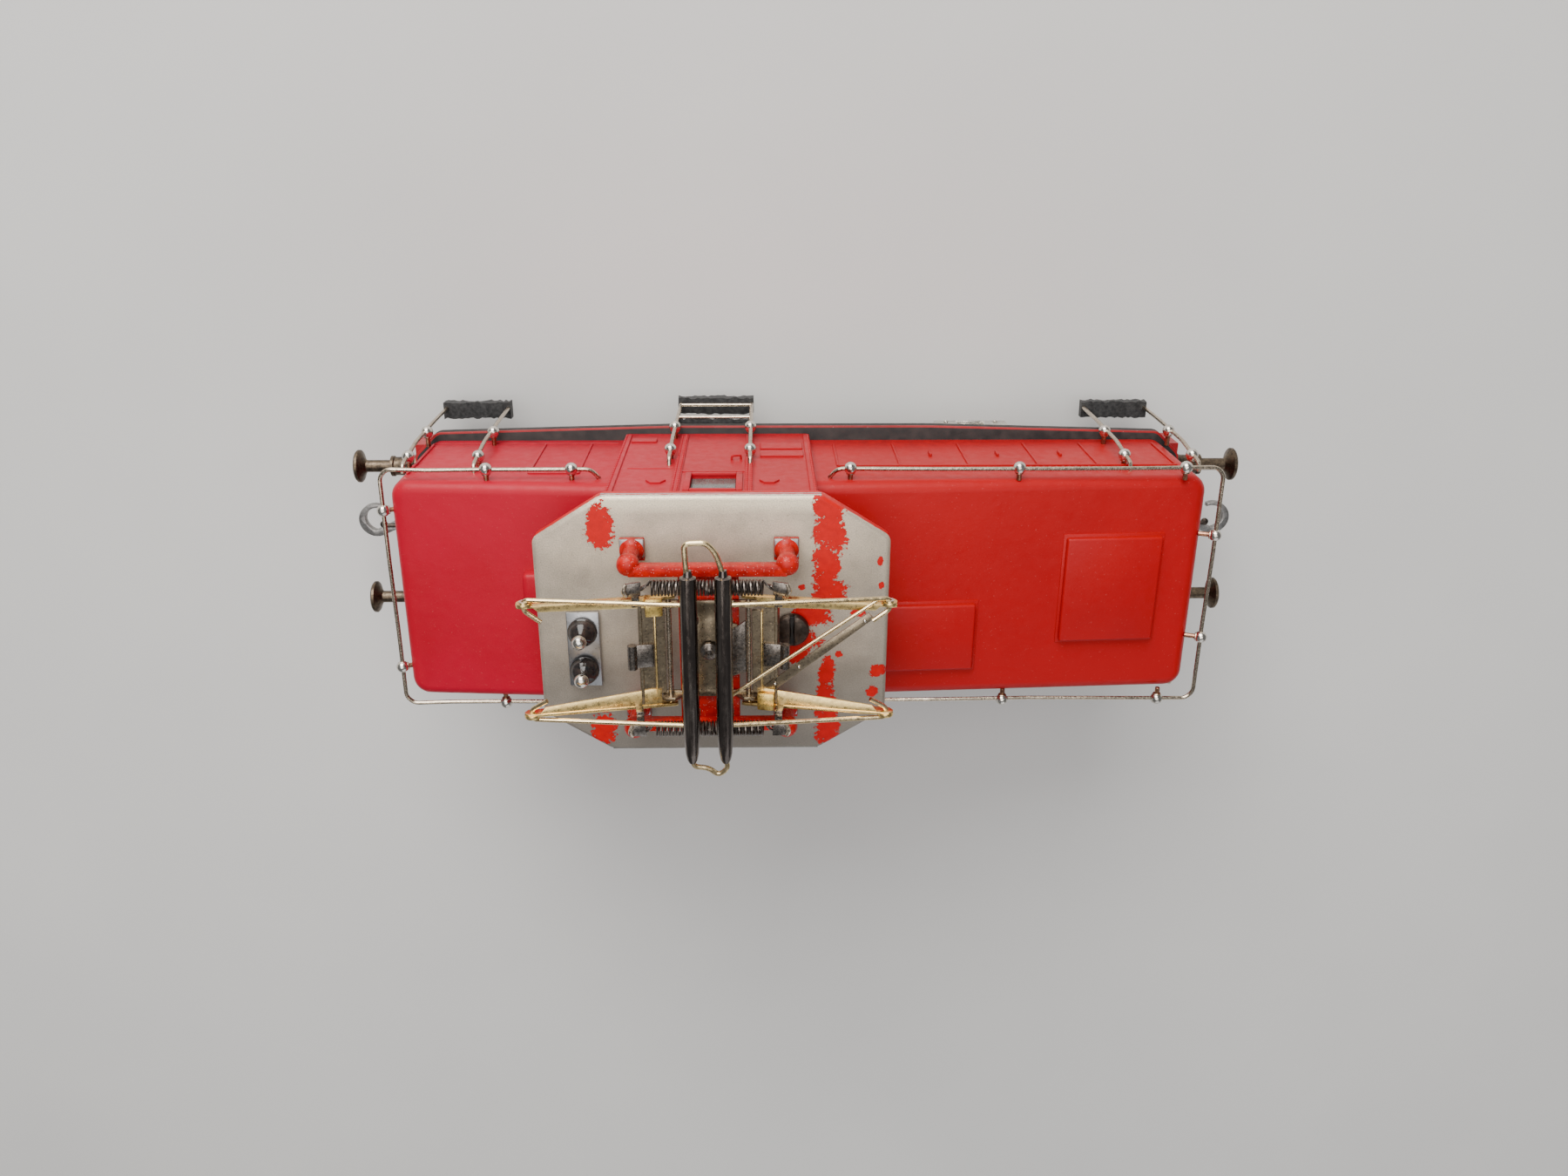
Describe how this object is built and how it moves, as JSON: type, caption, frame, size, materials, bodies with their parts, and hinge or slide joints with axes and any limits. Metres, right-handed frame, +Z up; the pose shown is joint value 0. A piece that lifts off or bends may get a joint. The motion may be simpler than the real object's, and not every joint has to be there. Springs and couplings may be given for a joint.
{
  "type": "model electric locomotive",
  "caption": "Model railway electric shunting locomotive with off-centre cab, hoods, folding roof pantograph, side rods, buffers and hook couplers.",
  "frame": {"origin": "midway between the buffer faces, on the plane of symmetry, at the lowest point of the wheel flanges", "axes": "+X towards the long hood, +Z up, +Y to the left side when facing +X"},
  "size_m": [0.12, 0.0334, 0.0573],
  "materials": {
    "red_paint": "semi-gloss enamel",
    "glazing": "clear",
    "burnished_steel": "burnished",
    "tinplate": "bright tinplate",
    "black_insulator": "glossy",
    "brass": "plated, worn",
    "nickel_wire": "nickel plated",
    "steel": "turned",
    "nickel_rods": "nickel plated",
    "zinc": "black-dipped die casting",
    "copper": "wound copper",
    "fibre": "pressed fibre"
  },
  "bodies": {
    "root": {"body_casting": "red_paint", "cab_glazing": "glazing", "roof_screw": "burnished_steel", "insulator_plate": "tinplate", "insulator_left": "black_insulator", "insulator_right": "black_insulator", "pantograph_base": "red_paint", "pantograph_bracket": "tinplate", "pantograph_screw": "burnished_steel", "pantograph_spring_left": "tinplate", "pantograph_spring_right": "tinplate", "handrail_short_hood": "nickel_wire", "handrail_long_hood": "nickel_wire", "step_short_hood_left": "nickel_wire", "step_short_hood_right": "nickel_wire", "step_cab_left": "nickel_wire", "step_cab_right": "nickel_wire", "step_long_hood_left": "nickel_wire", "step_long_hood_right": "nickel_wire", "buffer_short_hood_left": "burnished_steel", "buffer_short_hood_right": "burnished_steel", "buffer_long_hood_left": "burnished_steel", "buffer_long_hood_right": "burnished_steel", "headlamp_lens_short_hood_left": "glazing", "headlamp_lens_short_hood_right": "glazing", "headlamp_lens_long_hood_left": "glazing", "headlamp_lens_long_hood_right": "glazing", "coupler_pin_short_hood": "steel", "coupler_pin_long_hood": "steel", "chassis_frame": "zinc", "field_magnet": "burnished_steel", "brush_plate": "fibre", "brush_rear": "copper", "brush_front": "copper", "skate_plate": "fibre", "bulb_short_hood": "glazing", "bulb_long_hood": "glazing"},
    "wheelset_front": {"axle_front": "steel", "wheel_front_left": "steel", "wheel_front_right": "steel", "axle_gear": "brass"},
    "wheelset_middle": {"axle_middle": "steel", "wheel_middle_left": "steel", "wheel_middle_right": "steel"},
    "wheelset_rear": {"axle_rear": "steel", "wheel_rear_left": "steel", "wheel_rear_right": "steel"},
    "rod_left": {"coupling_rod_left": "nickel_rods"},
    "rod_right": {"coupling_rod_right": "nickel_rods"},
    "idler": {"idler_gear": "brass"},
    "armature": {"armature": "copper"},
    "coupler_short_hood": {"coupler_short_hood": "burnished_steel"},
    "coupler_long_hood": {"coupler_long_hood": "burnished_steel"},
    "skate": {"pickup_skate": "steel"},
    "lower_arm_rear": {"lower_arm_rear": "brass"},
    "lower_arm_front": {"lower_arm_front": "brass"},
    "upper_arm_rear": {"upper_arm_rear": "nickel_wire"},
    "upper_arm_front": {"upper_arm_front": "nickel_wire"},
    "collector_head": {"collector_head": "burnished_steel"}
  },
  "joints": [
    {"name": "wheels_front_spin", "type": "hinge", "parent": "root", "child": "wheelset_front", "pos_m": [0.026, 0, 0.0082], "axis": [0, 1, 0], "continuous": true},
    {"name": "wheels_middle_spin", "type": "hinge", "parent": "root", "child": "wheelset_middle", "pos_m": [0, 0, 0.0082], "axis": [0, 1, 0], "continuous": true},
    {"name": "wheels_rear_spin", "type": "hinge", "parent": "root", "child": "wheelset_rear", "pos_m": [-0.026, 0, 0.0082], "axis": [0, 1, 0], "continuous": true},
    {"name": "rod_left_pin", "type": "hinge", "parent": "wheelset_front", "child": "rod_left", "pos_m": [0.02396, 0.011, 0.006], "axis": [0, 1, 0], "continuous": true},
    {"name": "rod_right_pin", "type": "hinge", "parent": "wheelset_front", "child": "rod_right", "pos_m": [0.0282, -0.011, 0.00616], "axis": [0, 1, 0], "continuous": true},
    {"name": "idler_spin", "type": "hinge", "parent": "root", "child": "idler", "pos_m": [0.02122, 0, 0.01822], "axis": [0, 1, 0], "continuous": true},
    {"name": "armature_spin", "type": "hinge", "parent": "root", "child": "armature", "pos_m": [0.01799, 0, 0.02499], "axis": [0, 1, 0], "continuous": true},
    {"name": "coupler_short_hood_swing", "type": "hinge", "parent": "root", "child": "coupler_short_hood", "pos_m": [-0.04, 0, 0.009], "axis": [0, 0, 1], "range_deg": [-12, 12]},
    {"name": "coupler_long_hood_swing", "type": "hinge", "parent": "root", "child": "coupler_long_hood", "pos_m": [0.04, 0, 0.009], "axis": [0, 0, 1], "range_deg": [-12, 12]},
    {"name": "skate_lift", "type": "slide", "parent": "root", "child": "skate", "axis": [0, 0, 1], "range_m": [0, 0.0015], "stiffness_N_per_m": 30, "springref_m": -0.001},
    {"name": "pantograph_raise", "type": "hinge", "parent": "root", "child": "lower_arm_rear", "pos_m": [-0.01485, 0, 0.0509], "axis": [0, 1, 0], "range_deg": [0, 38], "deforming": ["pantograph_spring_left", "pantograph_spring_right"]},
    {"name": "lower_arm_front_raise", "type": "hinge", "parent": "root", "child": "lower_arm_front", "pos_m": [-0.00645, 0, 0.0509], "axis": [0, -1, 0], "range_deg": [0, 38]},
    {"name": "upper_arm_rear_knee", "type": "hinge", "parent": "lower_arm_rear", "child": "upper_arm_rear", "pos_m": [-0.0294, 0, 0.05333], "axis": [0, -1, 0], "range_deg": [0, 76]},
    {"name": "upper_arm_front_knee", "type": "hinge", "parent": "lower_arm_front", "child": "upper_arm_front", "pos_m": [0.0081, 0, 0.05333], "axis": [0, 1, 0], "range_deg": [0, 76]},
    {"name": "collector_head_pivot", "type": "hinge", "parent": "upper_arm_rear", "child": "collector_head", "pos_m": [-0.0124, 0, 0.05495], "axis": [0, 1, 0], "range_deg": [0, 38]}
  ],
  "couplings": [
    {"joint": "wheels_middle_spin", "follows": "wheels_front_spin", "ratio": 1},
    {"joint": "wheels_rear_spin", "follows": "wheels_front_spin", "ratio": 1},
    {"joint": "rod_left_pin", "follows": "wheels_front_spin", "ratio": -1},
    {"joint": "rod_right_pin", "follows": "wheels_front_spin", "ratio": -1},
    {"joint": "idler_spin", "follows": "wheels_front_spin", "ratio": -1.1765},
    {"joint": "armature_spin", "follows": "wheels_front_spin", "ratio": 2.5},
    {"joint": "lower_arm_front_raise", "follows": "pantograph_raise", "ratio": 1},
    {"joint": "upper_arm_rear_knee", "follows": "pantograph_raise", "ratio": 2},
    {"joint": "upper_arm_front_knee", "follows": "pantograph_raise", "ratio": 2},
    {"joint": "collector_head_pivot", "follows": "pantograph_raise", "ratio": 1}
  ]
}
